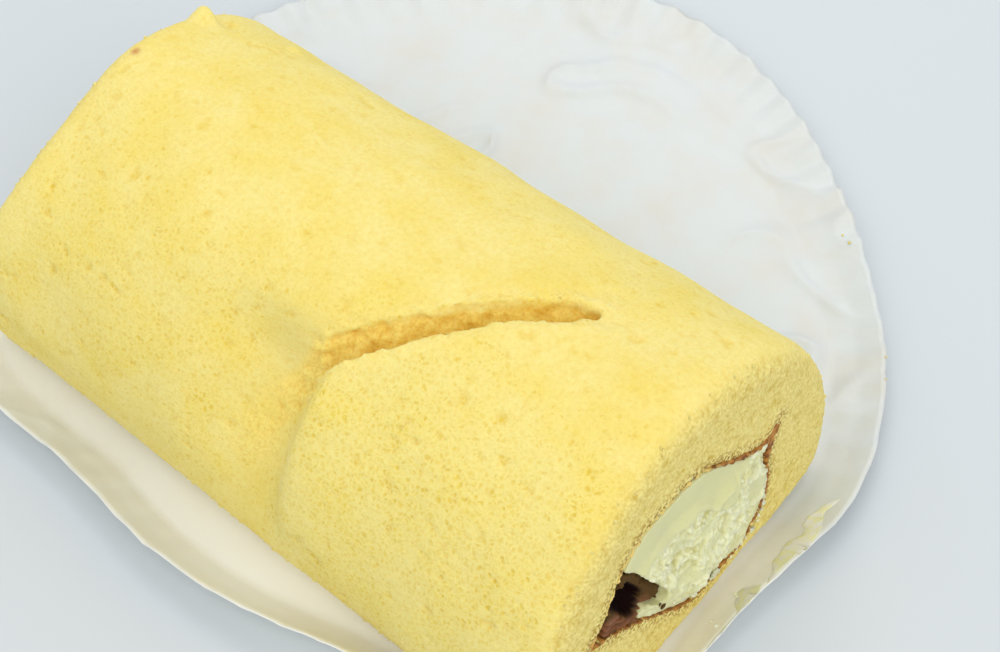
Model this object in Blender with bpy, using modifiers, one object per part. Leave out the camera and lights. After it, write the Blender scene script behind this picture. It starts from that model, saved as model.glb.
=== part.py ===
"""Roll cake of one sponge sheet folded round cream and chocolate, lying on its round paper case.

Metres, +Z up. The origin is on the table under the middle of the paper case. The roll lies along
X on the -Y side of the case, with the open end that shows its filling at +X.
"""

import math

import bmesh
import bpy
from mathutils import Vector, noise

MM = 0.001
SHARP_ANGLE = math.radians(38.0)
MITRE_LIMIT = 2.0
SMALLEST_COSINE = 0.001

# Paper case: a round of thin greaseproof paper, its fluted rim opened flat. It is pulled out to
# straighter edges where the roll's near end and front side press on it, and lies short behind
CASE_RADIUS = 66.0 * MM
CASE_FAR_REACH = 62.0 * MM
CASE_NEAR_REACH = 64.4 * MM
CASE_FRONT_REACH = 61.6 * MM
CASE_FRONT_ANGLE = math.radians(-84.8)
CASE_FAR_CORNER_POWER = 5.0
CASE_NEAR_CORNER_POWER = 14.0
CASE_BLEND_POWER = 45.0
CASE_PULL_EASE = 0.2
CASE_SIDE_EASE = 0.5
CASE_SHORT = 8.0 * MM
CASE_SHORT_ANGLE = math.radians(50.0)
CASE_SHORT_SPREAD = math.radians(60.0)
CASE_THICKNESS = 0.3 * MM
RIM_WIDTH_BACK = 10.0 * MM
RIM_WIDTH_FRONT = 5.2 * MM
RIM_LOW = 1.4 * MM
RIM_HIGH = 5.2 * MM
RIM_HIGH_ANGLE = math.radians(-62.0)
RIM_LIFT_POWER = 1.5
RIM_CURL_POWER = 1.6
FLUTES = 72
FLUTE_RISE = 0.6 * MM
FLUTE_REACH = 0.35 * MM
POINTS_PER_FLUTE = 4
RIM_RINGS = 2
CASE_COLOUR = (0.77, 0.78, 0.74, 1.0)
CASE_ROUGHNESS = 0.45

# Roll: outside shape of the folded sheet, a loaf flat below and rounded above
ROLL_IN_CASE = Vector((7.0 * MM, -27.0 * MM, 0.0))
ROLL_FAR_X = -56.6 * MM
ROLL_NEAR_X = 50.6 * MM
ROLL_CREST_Y = 2.0 * MM
ROLL_FRONT = 29.2 * MM
ROLL_BACK = 31.7 * MM
ROLL_HEIGHT = 39.4 * MM
ROLL_TAPER = 0.035
WIDEST_LEVEL = 0.29
TOP_POWER = 1.95
BASE_POWER = 6.0
END_ROUNDING = 3.2 * MM
END_BASE_ROUNDING = 0.35
NEAR_LEAN = 0.122
FAR_LEAN = 0.135
LEAN_LENGTH = 38.0 * MM
SAG_DEPTH = 3.2 * MM
SAG_MIDDLE_Y = -12.0 * MM
SAG_WIDTH = 22.0 * MM
SAG_LENGTH = 34.0 * MM
UNEVENNESS = 0.5 * MM
UNEVEN_PITCH = 13.0 * MM
UNEVEN_FROM = 0.02
UNEVEN_FULL = 0.2
CONTACT_GAP = 0.3 * MM
SPONGE_BASE = CASE_THICKNESS + CONTACT_GAP
SECTION_POINTS = 80
SECTION_SAMPLES = 1440
BASE_LEVEL = 0.03
BASE_POINT_SHARE = 0.35
ROUNDING_STATIONS = 4
STATION_STEP = 3.4 * MM
DENT_STATION_STEP = 1.7 * MM
SPONGE_COLOUR = (0.89, 0.76, 0.21, 1.0)
SPONGE_ROUGHNESS = 0.9

# Pressed dent: a narrow trench slants over the top, and the side below its end is pushed in up to
# a soft fold. The sponge swells a little along both
PRESS_CENTRE_LEVEL = 0.42
DENT_FROM_LEVEL = 0.45
DENT_FULL_LEVEL = 0.65
TRENCH_START = Vector((27.8 * MM, 9.3 * MM))
TRENCH_END = Vector((0.9 * MM, -18.7 * MM))
TRENCH_STATIONS = 14
TRENCH_SHALLOW = 3.2 * MM
TRENCH_DEEP = 4.8 * MM
TRENCH_NARROW = 2.8 * MM
TRENCH_WIDE = 3.4 * MM
TRENCH_SECTION = ((-0.12, 0.6), (0.1, -0.86), (0.3, -1.0), (0.5, -0.9), (0.82, -0.34),
                  (1.0, 0.12), (1.25, 0.6))
TRENCH_TIP = 0.5
TRENCH_TIP_END = 0.12
TRENCH_FADE_START = 0.8
TRENCH_FADE = 0.45
LIP_HEIGHT = 0.9 * MM
LIP_WIDTH = 7.0 * MM
LIP_RUN_OUT = 3.0 * MM
LIP_FADE_START = 0.8
FOLD_TOP = (1.5 * MM, 34.0 * MM)
FOLD_FOOT = (2.8 * MM, 3.0 * MM)
FOLD_DEPTH = 4.6 * MM
FOLD_WIDTH = 5.0 * MM
FOLD_REACH = 17.0 * MM
FOLD_BULGE = 1.1 * MM
FOLD_BULGE_WIDTH = 12.0 * MM
FOLD_FADE = 0.75
FOLD_Y_START = -11.0 * MM
FOLD_Y_END = -19.0 * MM

# Filling: corners of the tunnel in the end face, across Y and up Z from the roll's base
TUNNEL_ROOF = ((21.5, 22.5), (18.9, 21.0), (15.5, 22.0), (12.0, 24.3), (7.5, 27.7), (3.4, 29.6),
               (-1.5, 30.1), (-5.7, 29.8), (-9.0, 28.1), (-11.7, 25.2), (-13.9, 22.0))
TUNNEL_FLOOR = ((-15.3, 18.1), (-11.1, 15.5), (-7.1, 12.3), (-3.1, 8.8), (0.6, 5.6), (4.8, 4.1),
                (9.5, 4.1), (13.9, 4.7), (17.4, 7.4), (19.1, 11.9), (18.7, 17.1), (19.5, 20.1))
SEAM = ((-17.3, 18.6), (-19.8, 15.6), (-20.9, 10.0), (-21.0, 4.5), (-20.6, -1.0))
SEAM_WIDTH = 0.5 * MM
DIVIDE = ((-9.9, 50.0), (-10.2, 26.3), (-8.2, 24.0), (-6.1, 20.1), (-3.4, 14.8), (-4.2, 13.1),
          (-7.1, 15.8), (-8.5, 14.6), (-7.3, -10.0))
FIT_GAP = 0.35 * MM
FILLING_RUN_STATIONS = 12
CAP_RINGS = 7
CAP_EDGE = 0.35
CREAM_LUMPS = 1.5 * MM
CREAM_LUMP_PITCH = 4.0 * MM
CREAM_FINE_PITCH = 1.7 * MM
CREAM_FINE_SHARE = 0.5
CREAM_BULGE = 0.8 * MM
CREAM_CRUMBLY_BELOW = 21.0 * MM
CREAM_SMOOTH_ABOVE = 27.0 * MM
CREAM_LUMP_SLICE = 9.0 * MM
CHOCOLATE_LUMPS = 0.9 * MM
CHOCOLATE_LUMP_PITCH = 2.4 * MM
CHOCOLATE_RECESS = 0.6 * MM
CHOCOLATE_LUMP_SLICE = 7.0 * MM
CUTTER_REACH = 60.0 * MM
CREAM_COLOUR = (0.78, 0.80, 0.54, 1.0)
CREAM_ROUGHNESS = 0.5
CHOCOLATE_COLOUR = (0.05, 0.025, 0.018, 1.0)
CHOCOLATE_ROUGHNESS = 0.3

TAU = 2.0 * math.pi


def clear_scene():
    for item in list(bpy.data.objects):
        bpy.data.objects.remove(item, do_unlink=True)


def new_collection(name):
    collection = bpy.data.collections.new(name)
    bpy.context.scene.collection.children.link(collection)
    return collection


def new_material(name, colour, roughness):
    material = bpy.data.materials.new(name)
    material.use_nodes = True
    shader = material.node_tree.nodes["Principled BSDF"]
    shader.inputs["Base Color"].default_value = colour
    shader.inputs["Roughness"].default_value = roughness
    shader.inputs["Metallic"].default_value = 0.0
    material.diffuse_color = colour
    return material


def mesh_object(name, bm, collection, material):
    """Turn a bmesh into a smooth-shaded object with its faces pointing out."""
    bmesh.ops.recalc_face_normals(bm, faces=bm.faces)
    mesh = bpy.data.meshes.new(name)
    bm.to_mesh(mesh)
    bm.free()
    mesh.shade_smooth()
    mesh.set_sharp_from_angle(angle=SHARP_ANGLE)
    item = bpy.data.objects.new(name, mesh)
    collection.objects.link(item)
    if material:
        mesh.materials.append(material)
    return item


def step(low, high, value):
    """Ease from 0 at low to 1 at high."""
    share = min(max((value - low) / (high - low), 0.0), 1.0)
    return share * share * (3.0 - 2.0 * share)


def mix(low, high, share):
    return low + (high - low) * share


def metres(points):
    return [(y * MM, z * MM) for y, z in points]


def rounded(points):
    """Read a smooth Catmull-Rom line through a few corner points, two steps to each span."""
    last = len(points) - 1
    line = []
    for i in range(last):
        before, start, end, after = [Vector(points[min(max(i + k, 0), last)]) for k in (-1, 0, 1, 2)]
        for t in (0.0, 0.5):
            bend = (2.0 * start + (end - before) * t
                    + (2.0 * before - 5.0 * start + 4.0 * end - after) * t * t
                    + (3.0 * start - before - 3.0 * end + after) * t * t * t) * 0.5
            line.append(tuple(bend))
    line.append(tuple(points[-1]))
    return line


def outline_area(points):
    total = 0.0
    for (y0, z0), (y1, z1) in zip(points, points[1:] + points[:1]):
        total += y0 * z1 - y1 * z0
    return total / 2.0


def offset_outline(points, distance):
    """Move a closed outline outwards by a distance, or inwards where it is negative."""
    turn = 1.0 if outline_area(points) > 0.0 else -1.0
    count = len(points)
    moved = []
    for i, point in enumerate(points):
        before = (Vector(point) - Vector(points[i - 1])).normalized()
        after = (Vector(points[(i + 1) % count]) - Vector(point)).normalized()
        along = (before + after).normalized()
        lift = distance / max(math.sqrt((1.0 + before.dot(after)) / 2.0), 1.0 / MITRE_LIMIT)
        moved.append((point[0] + along.y * turn * lift, point[1] - along.x * turn * lift))
    return moved


# Paper case

def case_reach(angle):
    """Distance from the middle of the paper to its edge, before the flutes."""
    across = math.cos(angle)
    forward = -math.sin(angle)
    if forward <= 0.0:
        turn = min(abs(angle - CASE_SHORT_ANGLE) / CASE_SHORT_SPREAD, 1.0)
        return CASE_RADIUS - CASE_SHORT * math.cos(turn * math.pi / 2.0) ** 2
    side = (CASE_NEAR_REACH if across > 0.0 else CASE_FAR_REACH) / max(abs(across), SMALLEST_COSINE)
    front = CASE_FRONT_REACH / max(math.cos(angle - CASE_FRONT_ANGLE), SMALLEST_COSINE)
    power = CASE_NEAR_CORNER_POWER if across > 0.0 else CASE_FAR_CORNER_POWER
    pulled = (side ** -power + front ** -power) ** (-1.0 / power)
    plain = mix(CASE_RADIUS, case_reach(0.0), step(-CASE_SIDE_EASE, CASE_SIDE_EASE, across))
    blend = CASE_BLEND_POWER
    fuller = ((plain ** blend + pulled ** blend) / 2.0) ** (1.0 / blend)
    return mix(plain, fuller, step(0.0, CASE_PULL_EASE, forward))


def rim_form(angle):
    """Rise and width of the rim: it stands up round the roll and lies low and wide at the back."""
    lift = (0.5 + 0.5 * math.cos(angle - RIM_HIGH_ANGLE)) ** RIM_LIFT_POWER
    return mix(RIM_LOW, RIM_HIGH, lift), mix(RIM_WIDTH_BACK, RIM_WIDTH_FRONT, lift)


def case_point(angle, share):
    """Point on the underside of the rim, share 0 on the flat floor and 1 at the edge."""
    wave = math.cos(FLUTES * angle)
    rise, width = rim_form(angle)
    reach = case_reach(angle) - width * (1.0 - share) + FLUTE_REACH * wave * share
    height = rise * share ** RIM_CURL_POWER + FLUTE_RISE * (1.0 + wave) * share
    return Vector((reach * math.cos(angle), reach * math.sin(angle), height))


def build_case(collection):
    count = FLUTES * POINTS_PER_FLUTE
    rings = []
    bm = bmesh.new()
    for ring in range(RIM_RINGS + 1):
        share = ring / RIM_RINGS
        rings.append([bm.verts.new(case_point(TAU * i / count, share)) for i in range(count)])
    bm.faces.new(rings[0])
    for inner, outer in zip(rings, rings[1:]):
        for i in range(count):
            j = (i + 1) % count
            bm.faces.new((inner[i], outer[i], outer[j], inner[j]))
    case = mesh_object("paper_case", bm, collection,
                       new_material("greaseproof_paper", CASE_COLOUR, CASE_ROUGHNESS))
    for polygon in case.data.polygons:
        if polygon.normal.z < 0.0:
            case.data.flip_normals()
            break
    thick = case.modifiers.new("thickness", "SOLIDIFY")
    thick.thickness = CASE_THICKNESS
    thick.offset = 1.0
    return case


# Sponge

def loaf_section():
    """Section with y from -1 to 1 and z from 0 to 1, with fewer points on its flat base."""
    fine = []
    for i in range(SECTION_SAMPLES):
        angle = TAU * i / SECTION_SAMPLES
        side = math.cos(angle)
        rise = math.sin(angle)
        power = TOP_POWER if rise >= 0.0 else BASE_POWER
        y = math.copysign(abs(side) ** (2.0 / power), side)
        lift = math.copysign(abs(rise) ** (2.0 / power), rise)
        share = (1.0 - WIDEST_LEVEL) if rise >= 0.0 else WIDEST_LEVEL
        fine.append((y, WIDEST_LEVEL + lift * share))
    lengths = [0.0]
    for (y0, z0), (y1, z1) in zip(fine, fine[1:] + fine[:1]):
        weight = BASE_POINT_SHARE if max(z0, z1) < BASE_LEVEL else 1.0
        length = math.hypot((y1 - y0) * ROLL_BACK, (z1 - z0) * ROLL_HEIGHT)
        lengths.append(lengths[-1] + weight * length)
    section = []
    k = 0
    for i in range(SECTION_POINTS):
        target = lengths[-1] * i / SECTION_POINTS
        while lengths[k + 1] <= target:
            k += 1
        section.append(fine[k])
    return section


def roll_top(y):
    """Height of the undented roll above its base at a place across it."""
    half = ROLL_BACK if y > ROLL_CREST_Y else ROLL_FRONT
    side = min(abs(y - ROLL_CREST_Y) / half, 1.0)
    lift = (1.0 - side ** TOP_POWER) ** (1.0 / TOP_POWER)
    return ROLL_HEIGHT * (WIDEST_LEVEL + (1.0 - WIDEST_LEVEL) * lift)


def trench_side():
    """Flat direction across the trench, towards its far side."""
    along = (TRENCH_END - TRENCH_START).normalized()
    return Vector((along.y, -along.x))


def lip_swell(x, y):
    """How far the sponge swells along the trench's near lip."""
    run = TRENCH_END - TRENCH_START
    offset = Vector((x, y)) - TRENCH_START
    along = offset.dot(run.normalized())
    across = offset.dot(trench_side())
    ends = step(-LIP_RUN_OUT, LIP_RUN_OUT, along)
    ends *= 1.0 - step(LIP_FADE_START * run.length, run.length, along)
    near_side = step(-LIP_WIDTH, 0.0, across) * (1.0 - step(TRENCH_NARROW, TRENCH_WIDE, across))
    return LIP_HEIGHT * ends * near_side


def fold_depth(x, z):
    """How far the side is pushed in on one side of the fold, or swells on its other side."""
    height = min(max((z - FOLD_FOOT[1]) / (FOLD_TOP[1] - FOLD_FOOT[1]), 0.0), 1.0)
    line = mix(FOLD_FOOT[0], FOLD_TOP[0], height)
    pressed = 1.0 - step(line, line + FOLD_WIDTH, x)
    pressed *= step(line - FOLD_REACH, line - FOLD_WIDTH, x)
    crest = line + FOLD_WIDTH
    swollen = step(line, crest, x) * (1.0 - step(crest, crest + FOLD_BULGE_WIDTH, x))
    return step(0.0, FOLD_FADE, height) * (FOLD_DEPTH * pressed - FOLD_BULGE * swollen)


def dent_depth(x, y, z):
    """How far the pressed dent pushes the sponge in at a point of its outside."""
    turned = 1.0 - step(FOLD_Y_END, FOLD_Y_START, y)
    upper_side = step(DENT_FROM_LEVEL * ROLL_HEIGHT, DENT_FULL_LEVEL * ROLL_HEIGHT, z)
    return mix(-lip_swell(x, y) * upper_side, fold_depth(x, z), turned)


def lean_at(x):
    """Lean of the section: both ends of the roll lean back a little at the top."""
    near = NEAR_LEAN * step(ROLL_NEAR_X - LEAN_LENGTH, ROLL_NEAR_X, x)
    far = FAR_LEAN * (1.0 - step(ROLL_FAR_X, ROLL_FAR_X + LEAN_LENGTH, x))
    return far - near


def sag_depth(x, y, lift):
    """How far the far end's front shoulder sags."""
    across = min(abs(y - SAG_MIDDLE_Y) / SAG_WIDTH, 1.0)
    shoulder = math.cos(across * math.pi / 2.0) ** 2 * step(WIDEST_LEVEL, 2.0 * WIDEST_LEVEL, lift)
    return SAG_DEPTH * shoulder * (1.0 - step(ROLL_FAR_X, ROLL_FAR_X + SAG_LENGTH, x))


def roll_point(x, inset, side, lift):
    """Point on the outside of the roll at a station, drawn in by inset at the rounded ends."""
    share = (x - ROLL_FAR_X) / (ROLL_NEAR_X - ROLL_FAR_X)
    scale = 1.0 + ROLL_TAPER * (2.0 * share - 1.0)
    half = ROLL_BACK * scale if side > 0.0 else ROLL_FRONT
    y = side * (half - inset) + ROLL_CREST_Y
    z = lift * (ROLL_HEIGHT * scale - (1.0 + END_BASE_ROUNDING) * inset) + END_BASE_ROUNDING * inset
    lean_x = x + lean_at(x) * z
    inward = (Vector((ROLL_CREST_Y, PRESS_CENTRE_LEVEL * ROLL_HEIGHT)) - Vector((y, z))).normalized()
    bump = noise.noise(Vector((x, y, z)) / UNEVEN_PITCH)
    push = UNEVENNESS * bump * step(UNEVEN_FROM, UNEVEN_FULL, lift)
    push += dent_depth(lean_x, y, z) + sag_depth(x, y, lift)
    return Vector((lean_x, y + inward.x * push, z + inward.y * push + SPONGE_BASE))


def roll_stations():
    """Stations along the roll, each with its inset: a quarter circle rounds both ends."""
    quarter = [math.pi / 2.0 * i / ROUNDING_STATIONS for i in range(ROUNDING_STATIONS)]
    rounding = [(END_ROUNDING * (1.0 - math.cos(a)), END_ROUNDING * (1.0 - math.sin(a)))
                for a in quarter]
    stations = [(ROLL_FAR_X + advance, inset) for advance, inset in rounding]
    x = ROLL_FAR_X + END_ROUNDING
    last = ROLL_NEAR_X - END_ROUNDING
    while x < last - 0.4 * STATION_STEP:
        stations.append((x, 0.0))
        in_dent = FOLD_FOOT[0] - 2.0 * STATION_STEP < x < TRENCH_START[0] + STATION_STEP
        x += DENT_STATION_STEP if in_dent else STATION_STEP
    stations.append((last, 0.0))
    stations += [(ROLL_NEAR_X - advance, inset) for advance, inset in reversed(rounding)]
    return stations


def build_roll_body(collection, material):
    section = loaf_section()
    bm = bmesh.new()
    rings = []
    for x, inset in roll_stations():
        rings.append([bm.verts.new(roll_point(x, inset, y, z) + ROLL_IN_CASE) for y, z in section])
    for near, far in zip(rings, rings[1:]):
        for i in range(SECTION_POINTS):
            j = (i + 1) % SECTION_POINTS
            bm.faces.new((near[i], near[j], far[j], far[i]))
    bm.faces.new(rings[0])
    bm.faces.new(rings[-1])
    return mesh_object("sponge", bm, collection, material)


def build_trench(collection):
    """Cutter for the trench: an open wedge lofted along it, blunt at the start."""
    side = trench_side()
    bm = bmesh.new()
    rings = []
    for i in range(TRENCH_STATIONS + 1):
        share = i / TRENCH_STATIONS
        tip = mix(TRENCH_TIP, 1.0, step(0.0, TRENCH_TIP_END, share))
        fade = mix(1.0, TRENCH_FADE, step(TRENCH_FADE_START, 1.0, share))
        depth = mix(TRENCH_SHALLOW, TRENCH_DEEP, share) * fade
        width = mix(TRENCH_NARROW, TRENCH_WIDE, share) * tip
        lip = TRENCH_START.lerp(TRENCH_END, share)
        ring = []
        for across, drop in TRENCH_SECTION:
            place = lip + side * across * width
            height = roll_top(place.y) + drop * depth + SPONGE_BASE
            ring.append(bm.verts.new(Vector((place.x, place.y, height)) + ROLL_IN_CASE))
        rings.append(ring)
    for near, far in zip(rings, rings[1:]):
        for i in range(len(TRENCH_SECTION)):
            j = (i + 1) % len(TRENCH_SECTION)
            bm.faces.new((near[i], near[j], far[j], far[i]))
    bm.faces.new(rings[0])
    bm.faces.new(rings[-1])
    return cutter_object("trench", bm, collection)


def tunnel_outline():
    """Outline of the filling's tunnel and of the thin seam that runs from it to the base."""
    roof = rounded(metres(TUNNEL_ROOF))
    floor = rounded(metres(TUNNEL_FLOOR))
    seam = [Vector(point) for point in rounded(metres(SEAM))]
    outer = []
    inner = []
    for i, point in enumerate(seam):
        along = (seam[min(i + 1, len(seam) - 1)] - seam[max(i - 1, 0)]).normalized()
        side = Vector((along.y, -along.x)) * SEAM_WIDTH / 2.0
        outer.append(tuple(point + side))
        inner.append(tuple(point - side))
    return roof + outer + inner[::-1] + floor


def cutter_object(name, bm, collection):
    cutter = mesh_object(name, bm, collection, None)
    cutter.hide_render = True
    cutter.display_type = "WIRE"
    return cutter


def prism(name, outline, collection):
    """Cutter: a straight bar along the roll, of one outline across Y and up Z from its base."""
    bm = bmesh.new()
    ends = []
    for x in (2.0 * ROLL_FAR_X, 2.0 * ROLL_NEAR_X):
        ends.append([bm.verts.new(Vector((x, y, z + SPONGE_BASE)) + ROLL_IN_CASE)
                     for y, z in outline])
    for i in range(len(outline)):
        j = (i + 1) % len(outline)
        bm.faces.new((ends[0][i], ends[0][j], ends[1][j], ends[1][i]))
    bm.faces.new(ends[0])
    bm.faces.new(ends[1])
    return cutter_object(name, bm, collection)


def cut(item, cutter):
    boolean = item.modifiers.new("cut_" + cutter.name, "BOOLEAN")
    boolean.operation = "DIFFERENCE"
    boolean.solver = "EXACT"
    boolean.object = cutter


# Filling

def filling_outline():
    """Outline of the filling, a little inside the tunnel and short of its pinched tip."""
    roof = rounded(metres(TUNNEL_ROOF[1:]))
    floor = rounded(metres(TUNNEL_FLOOR[:-1]))
    return offset_outline(roof + floor, -FIT_GAP)


def filling_point(x, y, z):
    return Vector((x + lean_at(x) * z, y, z + SPONGE_BASE)) + ROLL_IN_CASE


def filling_caps(bm, outline, outward, cap_lift):
    """Rings of one end of the filling, shrinking from its outline to its middle point."""
    x = ROLL_NEAR_X if outward > 0.0 else ROLL_FAR_X
    middle = sum((Vector(point) for point in outline), Vector((0.0, 0.0))) / len(outline)
    rings = []
    for ring in range(1, CAP_RINGS + 1):
        share = ring / CAP_RINGS
        places = [Vector(point).lerp(middle, share) for point in outline]
        if ring == CAP_RINGS:
            places = [middle]
        verts = []
        for place in places:
            point = filling_point(x, place.x, place.y)
            point.x += outward * cap_lift(outward, place.x, place.y) * step(0.0, CAP_EDGE, share)
            verts.append(bm.verts.new(point))
        rings.append(verts)
    return rings


def build_filling(name, collection, material, cap_lift):
    """Bar of filling through the tunnel, its two ends torn rough by the cut."""
    outline = filling_outline()
    count = len(outline)
    bm = bmesh.new()
    run = []
    for i in range(FILLING_RUN_STATIONS + 1):
        x = mix(ROLL_FAR_X, ROLL_NEAR_X, i / FILLING_RUN_STATIONS)
        run.append([bm.verts.new(filling_point(x, y, z)) for y, z in outline])
    far_caps = filling_caps(bm, outline, -1.0, cap_lift)
    near_caps = filling_caps(bm, outline, 1.0, cap_lift)
    rings = far_caps[-2::-1] + run + near_caps[:-1]
    for near, far in zip(rings, rings[1:]):
        for i in range(count):
            j = (i + 1) % count
            bm.faces.new((near[i], near[j], far[j], far[i]))
    for ring, tip in ((rings[0], far_caps[-1][0]), (rings[-1], near_caps[-1][0])):
        for i in range(count):
            bm.faces.new((ring[i], ring[(i + 1) % count], tip))
    return mesh_object(name, bm, collection, material)


def cream_lift(outward, y, z):
    """The cream's ends are smooth under the sponge's roof and crumbly and proud below it."""
    crumbly = 1.0 - step(CREAM_CRUMBLY_BELOW, CREAM_SMOOTH_ABOVE, z)
    place = Vector((outward * CREAM_LUMP_SLICE, y, z))
    lump = noise.noise(place / CREAM_LUMP_PITCH)
    fine_lump = noise.noise(place / CREAM_FINE_PITCH)
    return crumbly * (CREAM_BULGE + CREAM_LUMPS * (lump + CREAM_FINE_SHARE * fine_lump))


def chocolate_lift(outward, y, z):
    place = Vector((outward * CHOCOLATE_LUMP_SLICE, y, z))
    return CHOCOLATE_LUMPS * noise.noise(place / CHOCOLATE_LUMP_PITCH) - CHOCOLATE_RECESS


def side_cutter(name, towards, collection):
    """Cutter for all the filling on one side of the line between the two fillings."""
    line = metres(DIVIDE)
    side = towards * CUTTER_REACH
    outline = line + [(side, line[-1][1]), (side, line[0][1])]
    return prism(name, offset_outline(outline, FIT_GAP / 2.0), collection)


def set_origin(items, case):
    """Place everything so that the origin is under the middle of the paper case."""
    xs = [vertex.co.x for vertex in case.data.vertices]
    ys = [vertex.co.y for vertex in case.data.vertices]
    for item in items:
        item.location = (-(min(xs) + max(xs)) / 2.0, -(min(ys) + max(ys)) / 2.0, 0.0)


def main():
    clear_scene()
    parts = new_collection("roll_cake")
    cutters = new_collection("cutters")
    case = build_case(parts)
    sponge_material = new_material("yellow_sponge", SPONGE_COLOUR, SPONGE_ROUGHNESS)
    sponge = build_roll_body(parts, sponge_material)
    cut(sponge, prism("tunnel", tunnel_outline(), cutters))
    cut(sponge, build_trench(cutters))
    cream_material = new_material("whipped_cream", CREAM_COLOUR, CREAM_ROUGHNESS)
    cream = build_filling("cream", parts, cream_material, cream_lift)
    cut(cream, side_cutter("chocolate_side", -1.0, cutters))
    chocolate_material = new_material("soft_chocolate", CHOCOLATE_COLOUR, CHOCOLATE_ROUGHNESS)
    chocolate = build_filling("chocolate", parts, chocolate_material, chocolate_lift)
    cut(chocolate, side_cutter("cream_side", 1.0, cutters))
    set_origin([*parts.objects, *cutters.objects], case)


main()
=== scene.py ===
import math
import random

import bpy
import numpy as np
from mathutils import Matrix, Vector, noise
from mathutils.bvhtree import BVHTree
from mathutils.kdtree import KDTree


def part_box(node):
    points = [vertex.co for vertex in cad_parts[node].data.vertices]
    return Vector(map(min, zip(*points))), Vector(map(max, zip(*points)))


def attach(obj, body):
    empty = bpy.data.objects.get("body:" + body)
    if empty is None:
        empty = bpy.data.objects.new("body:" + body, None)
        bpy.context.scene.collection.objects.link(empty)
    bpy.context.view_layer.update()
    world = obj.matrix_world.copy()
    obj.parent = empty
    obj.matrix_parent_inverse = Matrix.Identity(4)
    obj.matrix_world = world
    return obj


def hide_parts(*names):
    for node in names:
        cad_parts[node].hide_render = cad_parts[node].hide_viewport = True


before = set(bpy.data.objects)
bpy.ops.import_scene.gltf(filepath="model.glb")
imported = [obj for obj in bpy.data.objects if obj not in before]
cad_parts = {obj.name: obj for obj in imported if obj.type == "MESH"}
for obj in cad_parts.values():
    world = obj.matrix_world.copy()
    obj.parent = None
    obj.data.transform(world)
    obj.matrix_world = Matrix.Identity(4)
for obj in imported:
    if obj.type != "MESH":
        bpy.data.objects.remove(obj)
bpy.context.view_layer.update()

MM = 0.001


# Studio: a pale table, soft light from a window behind and from lamps before and beside the roll,
# and the camera that looks down on the cut end from its front right.

CAMERA_PLACE = (0.10307, -0.11688, 0.2025)
CAMERA_TARGET = (0.00806, -0.00421, 0.0)
CAMERA_LENS = 61.2
CAMERA_CLIP = 0.01
TABLE_SIZE = 3.0
TABLE_TOP = "C8CDCF"
SKY = "EEF3FA"
SKY_STRENGTH = 0.7
LAMPS = (("window", (-0.35, 0.55, 0.85), 0.9, 4.0, "FFFFFF"),
         ("front_light", (-0.3, -1.1, 1.6), 2.0, 8.0, "FFFDF8"),
         ("end_light", (1.15, -0.6, 1.2), 1.6, 12.5, "FFFDF8"))


def linear(shade):
    """Linear colour of an sRGB hex value."""
    channels = [int(shade[i:i + 2], 16) / 255.0 for i in (0, 2, 4)]
    return (*[c / 12.92 if c <= 0.04045 else ((c + 0.055) / 1.055) ** 2.4 for c in channels], 1.0)


def add_node(material, kind, values=None, links=None, **settings):
    """Add a node with its settings, the values of its inputs and the sockets that feed them."""
    node = material.node_tree.nodes.new("ShaderNode" + kind)
    for name, setting in settings.items():
        setattr(node, name, setting)
    for name, value in (values or {}).items():
        node.inputs[name].default_value = value
    for name, socket in (links or {}).items():
        material.node_tree.links.new(socket, node.inputs[name])
    return node


def new_material(name, **values):
    """New material: its shader with plain values set by name, and its node tree's coordinates."""
    material = bpy.data.materials.new(name)
    material.use_nodes = True
    shader = material.node_tree.nodes["Principled BSDF"]
    for label, value in values.items():
        shader.inputs[label.replace("_", " ")].default_value = value
    place = add_node(material, "TexCoord").outputs["Object"]
    return material, shader, place


def deselect_all():
    if bpy.context.object and bpy.context.object.mode != "OBJECT":
        bpy.ops.object.mode_set(mode="OBJECT")
    bpy.ops.object.select_all(action="DESELECT")


def aim(item, place, target):
    item.location = place
    item.rotation_mode = "QUATERNION"
    item.rotation_quaternion = (Vector(target) - Vector(place)).to_track_quat("-Z", "Y")


deselect_all()
bpy.ops.mesh.primitive_plane_add(size=TABLE_SIZE)
table = bpy.context.object
table.name = "table"
# Matt laminate: a pale plastic sheet with hardly any gloss.
table_material = new_material("matt_laminate", Base_Color=linear(TABLE_TOP), Roughness=0.55)[0]
table.data.materials.append(table_material)

for lamp_name, lamp_place, lamp_size, lamp_power, lamp_colour in LAMPS:
    deselect_all()
    bpy.ops.object.light_add(type="AREA")
    lamp = bpy.context.object
    lamp.name = lamp_name
    lamp.data.shape = "DISK"
    lamp.data.size = lamp_size
    lamp.data.energy = lamp_power
    lamp.data.color = linear(lamp_colour)[:3]
    aim(lamp, lamp_place, CAMERA_TARGET)

world = bpy.data.worlds.new("pale_room")
world.use_nodes = True
room_light = world.node_tree.nodes["Background"].inputs
room_light["Color"].default_value = linear(SKY)
room_light["Strength"].default_value = SKY_STRENGTH
bpy.context.scene.world = world
bpy.context.scene.view_settings.view_transform = "Standard"

deselect_all()
bpy.ops.object.camera_add()
camera = bpy.context.object
camera.data.sensor_fit = "HORIZONTAL"
camera.data.lens = CAMERA_LENS
camera.data.clip_start = CAMERA_CLIP
aim(camera, CAMERA_PLACE, CAMERA_TARGET)
bpy.context.scene.camera = camera


# Paper case: a round of thin white greaseproof paper, pressed to flutes at its rim and then
# opened flat. The rim still stands up beside the roll, and old creases wander over the flat floor.
# The paper before the roll is painted whiter: painted light where the roll shades it.

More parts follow.
